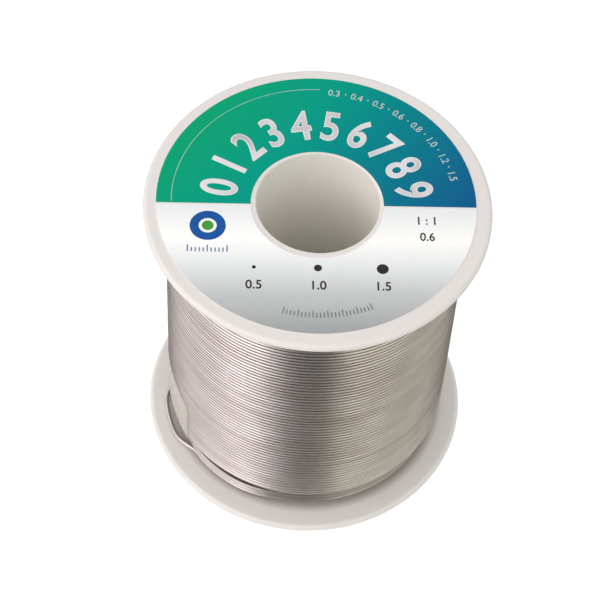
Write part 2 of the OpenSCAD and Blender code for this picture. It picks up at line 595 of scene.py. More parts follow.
@dataclass(frozen=True)
class Ink(Finish):
    """One ink printed solid on the film, with a faint mottle from the plate."""

    name: str
    colour: str
    faded: str
    mottle: float = 3 * MM
    mottle_edge: Pair = (0.35, 0.65)
    roughness: float = 0.45

    def shader(self, tree: NodeTree) -> Node:
        """Builds the nodes and gives the one that the surface takes."""
        mottle = remapped(tree, noise(tree, object_place(tree), self.mottle, 1.0), self.mottle_edge)
        colour = mixed(tree, mottle, self.colour, self.faded)
        values = {"Roughness": self.roughness, "IOR": 1.49, "Specular IOR Level": 0.1}
        return principled(tree, {"Base Color": colour, **values})


class LabelInk(Enum):
    """The inks of the label."""

    WHITE = Ink("white_ink", "#F6EFEF", "#FBF8F7")
    SILVER = Ink("silver_ink", "#C6C8CB", "#F1F2F4", mottle=7 * MM)
    PALE_GREEN = Ink("pale_green_ink", "#8CCDBB", "#A8D8CB")
    PALE_GREY = Ink("pale_grey_ink", "#B9CFD0", "#C9DADA")
    BLUE = Ink("blue_ink", "#0C52A4", "#1660B0")
    GREEN = Ink("green_ink", "#3FA535", "#52B043")
    BLACK = Ink("black_ink", "#232325", "#3A3A3D")
    GREY = Ink("grey_ink", "#7C7F80", "#8C8F90")


@dataclass(frozen=True)
class SolderWire(Finish):
    """Tin-lead solder, extruded and drawn to a fine wire.

    The eye gets a soft, bright metal, a little duller in patches and along
    lengths of the wire, and duller low on the winding where fingers hold it.
    The turns where the winding steps in are darkened by painted shade.
    The fine lines of the drawing run along the wire and spread a highlight across it.
    """

    name: str = "drawn_solder_wire"
    colour: str = "#D2CDCB"
    tarnish: str = "#BFB8B4"
    patch_size: float = 5 * MM
    # Spots of tarnish to a turn of wire, and the levels of noise between which it shows
    lengths_per_turn: float = 1.7
    tarnish_edge: Pair = (0.8, 1.3)
    # Painted shade darkens the turns where the winding steps in, starting at the first distance from the axis
    # and full at the second, but not the lowest turn, which ends at this height
    residue: str = "#A8A4A2"
    clean_radius: float = 19.1 * MM
    dusty_radius: float = 18.7 * MM
    lowest_turn: float = 1.9 * MM
    lowest_blend: float = 0.4 * MM
    # Heights between which the wire goes from freshly drawn to handled, and its roughness at each
    fresh_height: float = 44 * MM
    handled_height: float = 26 * MM
    roughness: Pair = (0.278, 0.35)
    tarnish_roughness: float = 0.04
    anisotropy: float = 0.5
    anisotropy_turn: float = 0.25

    def shader(self, tree: NodeTree) -> Node:
        """Builds the nodes and gives the one that the surface takes."""
        place = object_place(tree)
        height = height_of(tree, place)
        turn = add_node(tree, "ShaderNodeAttribute", attribute_name="turn").outputs["Fac"]
        lengths = add_node(
            tree, "ShaderNodeTexNoise", {"W": turn, "Scale": self.lengths_per_turn, "Detail": 2.0},
            noise_dimensions="1D",
        )
        tone = calculated(tree, "ADD", noise(tree, place, self.patch_size, 3.0), lengths)
        dull = remapped(tree, tone, self.tarnish_edge)
        metal = mixed(tree, dull, self.colour, self.tarnish)
        # Painted shade darkens the turns where the winding steps in, apart from the lowest turn
        inside = remapped(tree, from_axis(tree, place), (self.clean_radius, self.dusty_radius))
        above = remapped(tree, height, (self.lowest_turn, self.lowest_turn + self.lowest_blend))
        recess_shade_share = calculated(tree, "MULTIPLY", inside, above)
        handled = remapped(tree, height, (self.fresh_height, self.handled_height), self.roughness)
        return principled(
            tree,
            {
                "Base Color": mixed(tree, recess_shade_share, metal, self.residue),
                "Metallic": 1.0,
                "Roughness": calculated(tree, "MULTIPLY_ADD", dull, self.tarnish_roughness, handled),
                "Anisotropic": self.anisotropy,
                "Anisotropic Rotation": self.anisotropy_turn,
            },
        )


@dataclass(frozen=True)
class RosinFlux(Finish):
    """Rosin flux in the wire's core: amber, clear and brittle."""

    name: str = "rosin_flux"
    colour: str = "#8A5A22"
    crack_colour: str = "#B98636"
    crack_size: float = 0.1 * MM

    def shader(self, tree: NodeTree) -> Node:
        """Builds the nodes and gives the one that the surface takes."""
        cracks = noise(tree, object_place(tree), self.crack_size)
        colour = mixed(tree, cracks, self.colour, self.crack_colour)
        return principled(tree, {"Base Color": colour, "Roughness": 0.25, "IOR": 1.54})


@dataclass(frozen=True)
class ClearTape(Finish):
    """Clear polypropylene tape with an adhesive that has turned a little milky."""

    name: str = "clear_polypropylene_tape"
    colour: str = "#EDE9DE"
    patch_size: float = 3 * MM
    milkiness: Pair = (0.44, 0.56)
    # Share of the milkiness that is left at the tape's very edge
    edge_cover: float = 0.15

    def shader(self, tree: NodeTree) -> Node:
        """Builds the nodes and gives the one that the surface takes."""
        milk = remapped(tree, noise(tree, object_place(tree), self.patch_size), end=self.milkiness)
        full = add_node(tree, "ShaderNodeAttribute", attribute_name="cover").outputs["Fac"]
        cover = calculated(tree, "MULTIPLY", milk, remapped(tree, full, end=(self.edge_cover, 1.0)))
        colour = linear(self.colour)
        return principled(tree, {"Base Color": colour, "Roughness": 0.2, "IOR": 1.5, "Alpha": cover})


# ------------------------------------------------------------- the object


@dataclass(frozen=True)
class SpoolSizes:
    """Sizes of the winding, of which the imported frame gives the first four."""

    lower_face: float
    upper_face: float
    winding_radius: float
    step_radius: float
    step_height: float = 5.4 * MM
    wire_diameter: float = 0.6 * MM
    wire_pitch: float = 0.675 * MM

    @classmethod
    def from_frame(cls) -> "SpoolSizes":
        """Reads the sizes from the boxes of the CAD nodes."""
        core_low, core_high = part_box("inner_wire_layers")
        return cls(
            lower_face=core_low.z,
            upper_face=core_high.z,
            winding_radius=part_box("outer_wire_layer")[1].x,
            step_radius=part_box("lower_turns")[1].x,
        )

    @property
    def wire_radius(self) -> float:
        """Half the wire's diameter."""
        return self.wire_diameter / 2

    @property
    def layer_step(self) -> float:
        """How much nearer the axis each layer lies in the furrows of the next."""
        return math.sqrt(self.wire_diameter**2 - (self.wire_pitch / 2) ** 2)


@dataclass
class SpoolHalves:
    """The two moulded halves, which keep their CAD shape."""

    nodes: tuple[str, ...] = ("upper_spool_half", "lower_spool_half")
    finish: MouldedPolystyrene = field(default_factory=MouldedPolystyrene)

    def dress(self) -> None:
        """Gives the CAD nodes their finish."""
        for name in self.nodes:
            dress_node(name, self.finish)


@dataclass(frozen=True)
class FigureStyle:
    """A style of plain figures."""

    height: float
    # How far each outline is moved out
    weight: float
    # Width as a share of the font's own
    width: float


@dataclass(frozen=True)
class MarkRow:
    """A row of scale marks."""

    count: int
    # The first mark and each that follows it by this many are long
    every: int
    long: float
    short: float
    width: float


@dataclass
class RingLabel:
    """The ring label: a printed film with a dial of plain numbers and gauge marks.

    Angles are in degrees from +X about the spool's axis, and spots are in
    millimetres from the axis.
    """

    film_thickness: float = 0.08 * MM
    ink_depth: float = 0.01 * MM
    hole_diameter: float = 17.0 * MM
    hole_shift: Pair = (-0.12 * MM, -0.4 * MM)
    border: float = 0.05 * MM
    steps: int = 240
    # The print is split in two by a white hairline
    split_height: float = -0.54 * MM
    hairline: float = 0.2 * MM
    # Height of a capital in the font, as a share of its size
    cap_share: float = 0.73
    # Corners that the font draws almost at one spot are merged within this share of its size
    font_merge: float = 0.004
    # The dial: numbers 0 to 9 between a start and an end angle
    dial_start: float = 170.0
    dial_end: float = 10.0
    numeral_radius: float = 12.95 * MM
    numeral_height: float = 5.2 * MM
    numeral_width: float = 0.78
    numeral_outline: float = 0.13 * MM
    # The outer ring: a hairline on the left, and wire sizes with dots between them on the right
    ring_radius: float = 18.64 * MM
    ring_line: float = 0.05 * MM
    ring_angles: Pair = (88.0, 181.4)
    ring_sizes: tuple[str, ...] = ("0.3", "0.4", "0.5", "0.6", "0.8", "1.0", "1.2", "1.5")
    sizes_radius: float = 18.29 * MM
    sizes_start: float = 82.0
    sizes_end: float = 14.0
    sizes_figures: FigureStyle = FigureStyle(1.05 * MM, 0.01 * MM, 0.95)
    sizes_dot: float = 0.11 * MM
    # The cored wire cut across, with the inner and outer radius of its metal and its core
    section_spot: Pair = (-14.1, -4.1)
    section_metal: Pair = (1.15 * MM, 2.3 * MM)
    section_core: Pair = (0.02 * MM, 0.75 * MM)
    # The rule under it, from its first mark
    rule_spot: Pair = (-16.6, -8.2)
    rule_step: float = 0.5 * MM
    rule_marks: MarkRow = MarkRow(11, 5, 1.0 * MM, 0.6 * MM, 0.14 * MM)
    # Column and size of each gauge dot, the rows of the dots and of their numbers
    gauge_columns: tuple[Pair, ...] = ((-8.2, 0.5), (-0.15, 1.0), (8.0, 1.5))
    gauge_rows: Pair = (-10.5, -13.1)
    gauge_figures: FigureStyle = FigureStyle(1.35 * MM, 0.02 * MM, 0.95)
    # Column, rows and words of the two notes at the right
    side_column: float = 13.85
    side_figures: FigureStyle = FigureStyle(1.3 * MM, 0.02 * MM, 0.9)
    side_notes: tuple[tuple[float, str], ...] = ((-2.75, "1 : 1"), (-5.3, "0.6"))
    # The scale along the lower edge
    foot_radius: float = 18.2 * MM
    foot_angles: Pair = (-104.0, -68.0)
    foot_steps: int = 60
    foot_marks: MarkRow = MarkRow(25, 4, 1.0 * MM, 0.7 * MM, 0.16 * MM)

    def __post_init__(self) -> None:
        """Works out the label's place from the CAD node."""
        low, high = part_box("ring_label")
        self.centre = flattened((low + high) / 2)
        self.hole = Vector((*self.hole_shift, 0))
        self.radius = (high.x - low.x) / 2
        self.base = low.z
        self.top = self.base + self.film_thickness
        self.ink_top = high.z
        self.ink_base = self.top - self.ink_depth
        self.ink_middle = (self.ink_top + self.ink_base) / 2

    def build(self) -> None:
        """Builds the film and everything printed on it."""
        self.film()
        self.numerals()
        self.outer_ring()
        self.wire_section()
        self.gauge()
        self.foot_scale()

    def film(self) -> None:
        """Makes the film, its top split into a coloured and a silver half."""
        hole_radius = self.hole_diameter / 2
        rings = [
            (self.hole, hole_radius, self.base),
            (self.hole, hole_radius, self.top),
            (self.hole, hole_radius + self.border, self.top),
            (self.centre, self.radius - self.border, self.top),
            (self.centre, self.radius, self.top),
            (self.centre, self.radius, self.base),
        ]
        sections = [
            [centre + polar(radius, 360 * step / self.steps, height) for centre, radius, height in rings]
            for step in range(self.steps)
        ]
        mesh = swept("ring_label", sections)
        self.split_print(mesh)
        place_piece("ring_label_film", mesh, "label_film", replaces=["ring_label"])

    def split_print(self, mesh: Mesh) -> None:
        """Cuts the film's top along the split and gives each region its print.

        Args:
            mesh: The film, which is changed in place.
        """
        for finish in (self.paper_edge(), self.coloured_half(), self.silver_half()):
            mesh.materials.append(finish.material())
        work = bmesh.new()
        work.from_mesh(mesh)
        lower_height = self.split_height - self.hairline
        for height in (self.split_height, lower_height):
            whole = [*work.verts, *work.edges, *work.faces]
            bmesh.ops.bisect_plane(work, geom=whole, plane_co=(0, height, 0), plane_no=(0, 1, 0))
        bmesh.ops.recalc_face_normals(work, faces=work.faces)
        for face in work.faces:
            spot = flattened(face.calc_center_median())
            printed = (
                face.normal.z > 0.9
                and (spot - self.hole).length > self.hole_diameter / 2 + self.border
                and (spot - self.centre).length < self.radius - self.border
            )
            if printed and spot.y > self.split_height:
                face.material_index = 1
            elif printed and spot.y < lower_height:
                face.material_index = 2
        work.to_mesh(mesh)
        work.free()

    def coloured_half(self) -> PrintedFilm:
        """Green that turns through teal to blue, towards the lower right."""
        stops = ((0.0, "#08B17B"), (0.3, "#00A991"), (0.56, "#029096"), (1.0, "#12649B"))
        return PrintedFilm("green_to_blue_print", -35.0, -20 * MM, 16 * MM, stops)

    def silver_half(self) -> PrintedFilm:
        """Silver grey with a pale band across it."""
        stops = ((0.03, "#E6EBEC"), (0.3, "#FCFDFD"), (0.47, "#E8ECEE"), (0.7, "#C6CACC"), (1.0, "#A0A4A6"))
        return PrintedFilm("silver_print", -90.0, 0.0, 20.5 * MM, stops, metallic=0.6)

    def paper_edge(self) -> Ink:
        """Unprinted white film at the cut edges and along the split."""
        return Ink("white_film", "#F7EFEE", "#FAF5F3")

    def ink_piece(self, name: str, ink: LabelInk, meshes: Iterable[Mesh]) -> None:
        """Prints a piece of the label from its parts."""
        place_piece(name, joined(meshes), "label_film", ink.value)

    def ring(self, inner: float, outer: float, centre: Vector, angles: Pair = (0, 360)) -> Mesh:
        """Makes a printed ring or arc."""
        return flat_ring((inner, outer), (self.ink_base, self.ink_top), centre, angles)

    def dot(self, radius: float, spot: Vector) -> Mesh:
        """Makes a printed dot, a ring that is closed but for its middle."""
        return self.ring(0.01 * MM, radius, spot)

    def text_mesh(self, words: str, style: FigureStyle, turn: Matrix, top: float | None = None) -> Mesh:
        """Makes plain figures as a thin solid.

        Args:
            words: The figures.
            style: Their style.
            turn: Where the middle of the figures goes and how they are turned.
            top: Height of the upper side above the foot of the spool, if not the ink's.

        Returns:
            The mesh.
        """
        curve = bpy.data.curves.new("figures", "FONT")
        curve.body = words
        curve.size = 1.0
        curve.align_x = "CENTER"
        curve.resolution_u = 6
        curve.extrude = 0.5
        holder = new_object("figures", curve)
        depsgraph = bpy.context.evaluated_depsgraph_get()
        mesh = bpy.data.meshes.new_from_object(holder.evaluated_get(depsgraph))
        bpy.data.objects.remove(holder)
        bpy.data.curves.remove(curve)
        size = style.height / self.cap_share
        thickness = (top or self.ink_top) - self.ink_base
        close_mesh(mesh, merge=self.font_merge)
        mesh.transform(Matrix.Translation((0, -self.cap_share / 2, 0)))
        mesh.transform(Matrix.Diagonal((size * style.width, size, thickness, 1)))
        embolden(mesh, style.weight)
        mesh.transform(turn)
        mesh.transform(Matrix.Translation((0, 0, self.ink_base + thickness / 2)))
        close_mesh(mesh)
        return mesh

    def numerals(self) -> None:
        """Prints the numbers of the dial, silver on a white outline."""
        step = (self.dial_end - self.dial_start) / 9
        outline_top = self.ink_top - self.ink_depth / 2
        middle = (self.centre + self.hole) / 2
        height = self.numeral_height - 2 * self.numeral_outline
        outlined = FigureStyle(height, self.numeral_outline, self.numeral_width)
        plain = FigureStyle(height, 0.0, self.numeral_width)
        outlines, figures = [], []
        for number in range(10):
            angle = self.dial_start + step * number
            turn = set_upright(polar(self.numeral_radius, angle) + middle, angle)
            outlines.append(self.text_mesh(str(number), outlined, turn, outline_top))
            figures.append(self.text_mesh(str(number), plain, turn))
        self.ink_piece("dial_numeral_outlines", LabelInk.WHITE, outlines)
        self.ink_piece("dial_numerals", LabelInk.SILVER, figures)

    def marks(self, name: str, path: Sequence[Vector], row: MarkRow, ink: LabelInk) -> None:
        """Prints a row of scale marks along a line or an arc.

        Args:
            name: Name of the piece.
            path: Points of the line that the marks stand on, at equal distances.
            row: Number and sizes of the marks.
            ink: Their ink.
        """
        carrier = bpy.data.meshes.new(name)
        edges = [(k, k + 1) for k in range(len(path) - 1)]
        carrier.from_pydata([tuple(point) for point in path], edges, [])
        values = {
            "Count": row.count,
            "Long Every": row.every,
            "Long Length": row.long,
            "Short Length": row.short,
            "Width": row.width,
            "Thickness": self.ink_top - self.ink_base,
            "Material": ink.value.material(),
        }
        mesh = run_tree(name, scale_marks_tree(values), values, carrier)
        place_piece(name, mesh, "label_film", ink.value)

    def outer_ring(self) -> None:
        """Prints the hairline on the left and the row of wire sizes on the right."""
        radii = (self.ring_radius - self.ring_line, self.ring_radius + self.ring_line)
        hairline = self.ring(*radii, self.centre, self.ring_angles)
        self.ink_piece("ring_hairline", LabelInk.PALE_GREEN, [hairline])
        step = (self.sizes_end - self.sizes_start) / (len(self.ring_sizes) - 1)
        numbers, dots = [], []
        for k, words in enumerate(self.ring_sizes):
            angle = self.sizes_start + step * k
            turn = set_upright(polar(self.sizes_radius, angle) + self.centre, angle)
            numbers.append(self.text_mesh(words, self.sizes_figures, turn))
            if k:
                between = polar(self.sizes_radius, angle - step / 2) + self.centre
                dots.append(self.dot(self.sizes_dot, between))
        self.ink_piece("ring_sizes", LabelInk.PALE_GREY, numbers)
        self.ink_piece("ring_dots", LabelInk.PALE_GREY, dots)

    def wire_section(self) -> None:
        """Prints a cored wire cut across, over a short rule of 5 mm."""
        middle = Vector((*self.section_spot, 0)) * MM
        self.ink_piece("section_mark_metal", LabelInk.BLUE, [self.ring(*self.section_metal, middle)])
        self.ink_piece("section_mark_core", LabelInk.GREEN, [self.ring(*self.section_core, middle)])
        start = Vector((*self.rule_spot, 0)) * MM + Vector((0, 0, self.ink_middle))
        line = [start + Vector((self.rule_step * k, 0, 0)) for k in range(self.rule_marks.count)]
        self.marks("rule_marks", line, self.rule_marks, LabelInk.BLUE)

    def gauge(self) -> None:
        """Prints three wire sizes as dots at true size, with plain numbers."""
        dot_row, number_row = self.gauge_rows
        dots, numbers = [], []
        for column, size in self.gauge_columns:
            dots.append(self.dot(size / 2 * MM, Vector((column, dot_row, 0)) * MM))
            turn = Matrix.Translation(Vector((column, number_row, 0)) * MM)
            numbers.append(self.text_mesh(f"{size:.1f}", self.gauge_figures, turn))
        for row, words in self.side_notes:
            turn = Matrix.Translation(Vector((self.side_column, row, 0)) * MM)
            numbers.append(self.text_mesh(words, self.side_figures, turn))
        self.ink_piece("gauge_dots", LabelInk.BLACK, dots)
        self.ink_piece("gauge_numbers", LabelInk.BLACK, numbers)

    def foot_scale(self) -> None:
        """Prints a short grey scale along the lower edge."""
        start, end = self.foot_angles
        angles = [start + (end - start) * k / self.foot_steps for k in range(self.foot_steps + 1)]
        arc = [self.centre + polar(self.foot_radius, angle, self.ink_middle) for angle in angles]
        self.marks("foot_scale_marks", arc, self.foot_marks, LabelInk.GREY)


def scale_marks_tree(values: dict[str, Any]) -> NodeTree:
    """Makes the Geometry Nodes tree that stands marks on a line, every few of them long.

    Args:
        values: What its inputs are given.

    Returns:
        The tree, made on first use.
    """
    name = "scale_marks"
    if name in bpy.data.node_groups:
        return bpy.data.node_groups[name]
    tree, given = new_tree(name, values)
    line = add_node(tree, "GeometryNodeMeshToCurve", {"Mesh": given["Geometry"]})
    inputs = {"Curve": line, "Count": given["Count"]}
    posts = add_node(tree, "GeometryNodeCurveToPoints", inputs, mode="COUNT")
    left_over = calculated(tree, "MODULO", add_node(tree, "GeometryNodeInputIndex"), given["Long Every"])
    is_long = calculated(tree, "LESS_THAN", left_over, 0.5)
    length = remapped(tree, is_long, end=(given["Short Length"], given["Long Length"]))
    # A mark is a block 1 long on +Y, which its scale then makes as long as it should be
    block = add_node(tree, "GeometryNodeMeshCube", {"Size": (1.0, 1.0, 1.0)})
    moved = add_node(
        tree, "GeometryNodeTransform", {"Geometry": block.outputs["Mesh"], "Translation": (0.0, 0.5, 0.0)}
    )
    size = add_node(tree, "ShaderNodeCombineXYZ", {"X": given["Width"], "Y": length, "Z": given["Thickness"]})
    facing = add_node(
        tree, "FunctionNodeAlignEulerToVector", {"Vector": posts.outputs["Tangent"]}, axis="X", pivot_axis="Z"
    )
    inputs = {"Points": posts.outputs["Points"], "Instance": moved, "Rotation": facing, "Scale": size}
    stood = add_node(tree, "GeometryNodeInstanceOnPoints", inputs)
    end_tree(tree, stood, given["Material"])
    return tree


def wound_layer_tree(values: dict[str, Any]) -> NodeTree:
    """Makes the Geometry Nodes tree that winds one layer of wire.

    The wire goes down the barrel clockwise, seen from above. Its pitch breathes
    over a few turns and each turn wanders a little, as wire laid by a guide does.

    Args:
        values: What its inputs are given.

    Returns:
        The tree, made on first use.
    """
    name = "wound_layer"
    if name in bpy.data.node_groups:
        return bpy.data.node_groups[name]
    tree, given = new_tree(name, values)
    # Waves to a turn, and where each wave starts in the noise of a seed
    wandering, breathing, swelling = (2.3, 0.0), (0.3, 11.0), (1.9, 23.0)
    seed_stride = 37.0
    # The noise seldom leaves these levels
    noise_levels = (0.25, 0.75)
    # How far a turn swells, as a share of how far it wanders
    swell_share = 0.6
    # Shares of a bulge's spread and height, and of the slack's spread, within which each is full
    bulge_full, bulge_height_full, slack_full = 0.2, 0.85, 0.3
    # Turns before the end between which the last turn leaves the one above it
    leaving = (0.75, 0.6)

    def calculate(operation: str, *terms: Any) -> Node:
        """Adds one step of arithmetic."""
        return calculated(tree, operation, *terms)

    def wave(shape: Pair, size: Any) -> Node:
        """Adds a smooth random wave along the wire, from -size to size."""
        scale, seed_step = shape
        seed = calculate("MULTIPLY_ADD", given["Seed"], seed_stride, seed_step)
        place = calculate("MULTIPLY_ADD", turn, scale, seed)
        inputs = {"W": place, "Scale": 1.0, "Detail": 1.0}
        waves = add_node(tree, "ShaderNodeTexNoise", inputs, noise_dimensions="1D").outputs[0]
        return remapped(tree, waves, noise_levels, (calculate("MULTIPLY", size, -1.0), size))

    def eased(amount: Any, low: Any, high: Any) -> Node:
        """Adds a smooth rise from 0 to 1 between two amounts."""
        return remapped(tree, amount, (low, high), interpolation_type="SMOOTHSTEP")

    def beside(middle: str, spread: str, full: float) -> Node:
        """Adds a rise to 1 about an angle, over a spread, both given by the tree's inputs."""
        facing = calculate("COSINE", calculate("SUBTRACT", angle, given[middle]))
        away = calculate("ARCCOSINE", facing)
        return eased(away, given[spread], calculate("MULTIPLY", given[spread], full))

    count = calculate("ADD", calculate("MULTIPLY", given["Turns"], given["Steps Per Turn"]), 1.0)
    straight = add_node(tree, "GeometryNodeCurvePrimitiveLine")
    line = add_node(tree, "GeometryNodeResampleCurve", {"Curve": straight, "Count": count}, mode="COUNT")
    turn = calculate("DIVIDE", add_node(tree, "GeometryNodeInputIndex"), given["Steps Per Turn"])
    left = calculate("SUBTRACT", given["Turns"], turn)
    angle = calculate("MULTIPLY_ADD", left, TURN, given["End Angle"])
    # The first and last turns lie against the flange and the tape, so they don't wander
    free = add_node(tree, "ShaderNodeClamp", {"Value": calculate("MINIMUM", turn, left)})
    sway = calculate("ADD", wave(wandering, given["Wander"]), wave(breathing, given["Breathing"]))
    height = calculate("MULTIPLY_ADD", turn, calculate("MULTIPLY", given["Pitch"], -1.0), given["Top Height"])
    height = calculate("MULTIPLY_ADD", sway, free, height)
    swell = calculate("MULTIPLY", wave(swelling, given["Wander"]), swell_share)
    radius = calculate("MULTIPLY_ADD", swell, free, given["Radius"])
    # The lowest turns bulge out together on one side
    lowest = given["Bulge Height"]
    lowest = eased(height, lowest, calculate("MULTIPLY", lowest, bulge_height_full))
    side = beside("Bulge Angle", "Bulge Spread", bulge_full)
    bulge = calculate("MULTIPLY", calculate("MULTIPLY", side, lowest), given["Bulge"])
    # The last turn alone stands off further round
    loose = beside("Slack Angle", "Slack Spread", slack_full)
    slack = calculate("MULTIPLY", calculate("MULTIPLY", loose, eased(left, *leaving)), given["Slack"])
    radius = calculate("ADD", radius, calculate("MAXIMUM", bulge, slack))
    across = calculate("MULTIPLY", radius, calculate("COSINE", angle))
    along = calculate("MULTIPLY", radius, calculate("SINE", angle))
    position = add_node(tree, "ShaderNodeCombineXYZ", {"X": across, "Y": along, "Z": height})
    helix = add_node(tree, "GeometryNodeSetPosition", {"Geometry": line, "Position": position})
    upright = add_node(tree, "GeometryNodeSetCurveNormal", {"Curve": helix}, mode="Z_UP")
    counted = add_node(
        tree, "GeometryNodeStoreNamedAttribute",
        {"Geometry": upright, "Name": "turn", "Value": turn}, data_type="FLOAT", domain="POINT",
    )
    circle = add_node(
        tree, "GeometryNodeCurvePrimitiveCircle",
        {"Resolution": given["Sides"], "Radius": given["Wire Radius"]}, mode="RADIUS",
    )
    inputs = {"Curve": counted, "Profile Curve": circle.outputs["Curve"], "Fill Caps": True}
    end_tree(tree, add_node(tree, "GeometryNodeCurveToMesh", inputs), given["Material"])
    return tree


@dataclass
class WireWinding:
    """The solder wire, wound level from flange to flange, its last two layers shorter."""

    sizes: SpoolSizes
    finish: SolderWire = field(default_factory=SolderWire)
    lower_end_angle: float = 90.0
    wander: float = 0.02 * MM
    breathing: float = 0.03 * MM
    # The lowest turns of the third layer bulge out on one side
    bulge: float = 0.5 * MM
    bulge_angle: float = -130.0
    bulge_spread: float = 35.0
    bulge_height: float = 3.9 * MM
    # The last of them stands off alone further round
    slack: float = 1.8 * MM
    slack_angle: float = -166.0
    slack_spread: float = 25.0
    # How far the third layer goes on under the two that cover it
    covered_rise: float = 1.6 * MM
    sides: int = 10
    steps_per_turn: int = 128
    core_steps: int = 96
    core_samples: int = 8
    core_radius: float = 10.6 * MM
    # Depth of a furrow stops at this share of the wire's radius
    furrow_share: float = 0.2
    flux_radius: float = 0.12 * MM
    flux_stub: float = 0.06 * MM
    # Where the wire's start ends, beside the barrel
    start_spot: Pair = (10.1 * MM, -0.9 * MM)

    def build(self) -> None:
        """Builds every layer that shows, and the flux at the two ends."""
        sizes = self.sizes
        self.layer(
            "outer_wire_layer_turns", sizes.winding_radius, sizes.upper_face - sizes.wire_radius,
            sizes.step_height + sizes.wire_radius, FREE_END_ANGLE, 1.0, ["outer_wire_layer"],
        )
        self.layer(
            "third_wire_layer_turns", sizes.step_radius, sizes.step_height + self.covered_rise,
            sizes.lower_face + sizes.wire_radius, self.lower_end_angle, 2.0, ["lower_turns"], self.bulge,
            self.slack,
        )
        self.core()
        dress_node("wire_start", self.finish)
        self.flux()

    def layer(
        self, name: str, reach: float, top: float, bottom: float, end: float, seed: float,
        replaces: Sequence[str], bulge: float = 0.0, slack: float = 0.0,
    ) -> None:
        """Winds one layer.

        Args:
            name: Name of the piece.
            reach: Outer radius of the layer.
            top: Height of the wire's middle in its first turn.
            bottom: Height of the wire's middle at its end.
            end: Angle of its end, in degrees.
            seed: Seed of its wander.
            replaces: CAD nodes that it stands for.
            bulge: How far its lowest turns bulge out.
            slack: How far its last turn stands off.
        """
        sizes = self.sizes
        values = {
            "Radius": reach - sizes.wire_radius,
            "Top Height": top,
            "Pitch": sizes.wire_pitch,
            "Turns": (top - bottom) / sizes.wire_pitch,
            "End Angle": math.radians(end),
            "Wire Radius": sizes.wire_radius,
            "Steps Per Turn": self.steps_per_turn,
            "Sides": self.sides,
            "Wander": self.wander,
            "Breathing": self.breathing,
            "Bulge": bulge,
            "Bulge Angle": math.radians(self.bulge_angle),
            "Bulge Spread": math.radians(self.bulge_spread),
            "Bulge Height": self.bulge_height,
            "Slack": slack,
            "Slack Angle": math.radians(self.slack_angle),
            "Slack Spread": math.radians(self.slack_spread),
            "Seed": seed,
            "Material": self.finish.material(),
        }
        mesh = run_tree(name, wound_layer_tree(values), values)
        place_piece(name, mesh, "solder_wire", self.finish, replaces)

    def furrow(self, height: float, crest: float, middle: float) -> float:
        """Gives the radius at a height of a layer of which one crest is known.

        Args:
            height: The height asked for.
            crest: Height of a crest.
            middle: Radius of the layer's wire centres.

        Returns:
            The radius.
        """
        sizes = self.sizes
        away = (height - crest + sizes.wire_pitch / 2) % sizes.wire_pitch - sizes.wire_pitch / 2
        rise = math.sqrt(max(0.0, sizes.wire_radius**2 - away**2))
        return middle + max(self.furrow_share * sizes.wire_radius, rise)

    def core(self) -> None:
        """Makes the layers beneath, ribbed by the furrows between their turns."""
        sizes = self.sizes
        crest = sizes.upper_face - sizes.wire_radius - sizes.wire_pitch / 2
        second_middle = sizes.winding_radius - sizes.wire_radius - sizes.layer_step
        fourth_middle = sizes.step_radius - sizes.wire_radius - sizes.layer_step
        depth = sizes.upper_face - sizes.lower_face
        outline = [(self.core_radius, sizes.lower_face), (self.core_radius, sizes.upper_face)]
        count = int(depth / sizes.wire_pitch * self.core_samples)
        for k in range(count + 1):
            height = sizes.upper_face - depth * k / count
            middle = second_middle if height > sizes.step_height else fourth_middle
            outline.append((self.furrow(height, crest, middle), height))
        name = "inner_wire_layers_ribbed"
        mesh = revolve(name, outline, self.core_steps)
        place_piece(name, mesh, "solder_wire", self.finish, ["inner_wire_layers"])

    def flux(self) -> None:
        """Makes the flux that shows in the core at the wire's two cut ends."""
        sizes = self.sizes
        start = Vector((*self.start_spot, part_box("wire_start")[0].z))
        height = sizes.step_height + sizes.wire_radius
        end = polar(sizes.winding_radius - sizes.wire_radius, FREE_END_ANGLE, height)
        lying = Euler((math.radians(90), 0, math.radians(FREE_END_ANGLE))).to_matrix().to_4x4()
        radii, heights = (0.005 * MM, self.flux_radius), (-self.flux_stub, self.flux_stub)
        stubs = []
        for place in (Matrix.Translation(start), Matrix.Translation(end) @ lying):
            stub = flat_ring(radii, heights, Vector((0, 0, 0)))
            stub.transform(place)
            stubs.append(stub)
        place_piece("flux_core_ends", joined(stubs), "solder_wire", RosinFlux())


